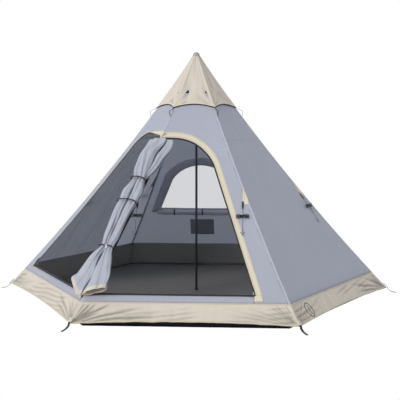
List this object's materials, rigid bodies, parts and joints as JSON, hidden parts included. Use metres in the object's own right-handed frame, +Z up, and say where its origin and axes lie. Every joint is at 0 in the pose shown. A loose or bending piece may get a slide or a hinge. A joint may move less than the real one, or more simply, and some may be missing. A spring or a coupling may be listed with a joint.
{
  "type": "teepee tent",
  "caption": "Hexagonal single-pole tipi tent with a rain cap, ground skirt, corner doorway with tied-back doors, arched rear window and a sewn-in groundsheet.",
  "frame": {"origin": "on the ground under the centre pole, at the middle of the groundsheet", "axes": "+Z up, -Y out of the front doorway wall, +X to the right-hand corner seen from the front"},
  "size_m": [3.85, 3.3456, 2.29],
  "materials": {
    "wall_cloth": "matt coated polyester weave, grey",
    "cream_cloth": "matt coated polyester weave, cream",
    "groundsheet_cloth": "coated heavy weave, near black",
    "insect_mesh": "fine black knitted mesh",
    "clear_film": "clear flexible film",
    "zip_plastic": "black coil and slider",
    "pole_steel": "black powder coat",
    "foot_rubber": "matt black",
    "cord": "black braided cord",
    "hard_plastic": "moulded, satin black",
    "webbing": "black woven webbing"
  },
  "bodies": {
    "shell": {"apex_cup": "hard_plastic", "cable_port": "webbing", "cap_rings": "hard_plastic", "door_binding": "cream_cloth", "door_ties": "webbing", "foot_patch": "webbing", "front_door_roll": "wall_cloth", "front_door_zip": "zip_plastic", "groundsheet": "groundsheet_cloth", "guy_hank_0": "cord", "guy_hank_120": "cord", "guy_hank_180": "cord", "guy_hank_240": "cord", "guy_hank_300": "cord", "guy_hank_60": "cord", "guy_lines": "cord", "guy_patches": "cream_cloth", "guy_tabs": "webbing", "inner_pocket": "wall_cloth", "left_door_mesh": "insect_mesh", "left_door_roll": "wall_cloth", "left_door_zip": "zip_plastic", "panel_back": "wall_cloth", "panel_back_left": "wall_cloth", "panel_back_right": "wall_cloth", "panel_front": "wall_cloth", "panel_front_left": "wall_cloth", "panel_front_right": "wall_cloth", "peg_straps": "webbing", "pole_foot": "foot_rubber", "pole_section_1": "pole_steel", "pole_section_2": "pole_steel", "pole_section_3": "pole_steel", "pole_section_4": "pole_steel", "skirt_back": "cream_cloth", "skirt_back_left": "cream_cloth", "skirt_back_right": "cream_cloth", "skirt_front": "cream_cloth", "skirt_front_left": "cream_cloth", "skirt_front_right": "cream_cloth", "vent_mesh": "insect_mesh", "window_cover_roll": "wall_cloth", "window_frame": "wall_cloth", "window_pane": "clear_film"},
    "cap": {"rain_cap": "cream_cloth", "cap_piping": "webbing", "cap_straps": "webbing", "cap_hooks": "hard_plastic"},
    "front_sill_slider": {"front_sill_slider": "zip_plastic"},
    "front_side_slider": {"front_side_slider": "zip_plastic"},
    "left_sill_slider": {"left_sill_slider": "zip_plastic"},
    "left_side_slider": {"left_side_slider": "zip_plastic"},
    "guy_runner_0": {"guy_runner_0": "hard_plastic"},
    "guy_runner_60": {"guy_runner_60": "hard_plastic"},
    "guy_runner_120": {"guy_runner_120": "hard_plastic"},
    "guy_runner_180": {"guy_runner_180": "hard_plastic"},
    "guy_runner_240": {"guy_runner_240": "hard_plastic"},
    "guy_runner_300": {"guy_runner_300": "hard_plastic"}
  },
  "joints": [
    {"name": "cap_lift", "type": "slide", "parent": "shell", "child": "cap", "axis": [0, 0, 1], "range_m": [0, 0.45]},
    {"name": "front_sill_zip", "type": "slide", "parent": "shell", "child": "front_sill_slider", "axis": [-1, 0, 0], "range_m": [0, 1.08]},
    {"name": "front_side_zip", "type": "slide", "parent": "shell", "child": "front_side_slider", "axis": [-0.2764, 0.5874, 0.7606], "range_m": [0, 0.591]},
    {"name": "left_sill_zip", "type": "slide", "parent": "shell", "child": "left_sill_slider", "axis": [0.5, -0.866, 0], "range_m": [0, 1.08]},
    {"name": "left_side_zip", "type": "slide", "parent": "shell", "child": "left_side_slider", "axis": [0.6549, 0.0321, 0.7551], "range_m": [0, 0.595]},
    {"name": "guy_0_tension", "type": "slide", "parent": "shell", "child": "guy_runner_0", "axis": [-0.5068, 0.3136, 0.803], "range_m": [0, 0.045]},
    {"name": "guy_60_tension", "type": "slide", "parent": "shell", "child": "guy_runner_60", "axis": [-0.525, -0.2821, 0.803], "range_m": [0, 0.045]},
    {"name": "guy_120_tension", "type": "slide", "parent": "shell", "child": "guy_runner_120", "axis": [0.5068, -0.3136, 0.803], "range_m": [0, 0.045]},
    {"name": "guy_180_tension", "type": "slide", "parent": "shell", "child": "guy_runner_180", "axis": [0.5068, -0.3136, 0.803], "range_m": [0, 0.045]},
    {"name": "guy_240_tension", "type": "slide", "parent": "shell", "child": "guy_runner_240", "axis": [0.0182, 0.5957, 0.803], "range_m": [0, 0.045]},
    {"name": "guy_300_tension", "type": "slide", "parent": "shell", "child": "guy_runner_300", "axis": [0.0182, 0.5957, 0.803], "range_m": [0, 0.045]}
  ]
}
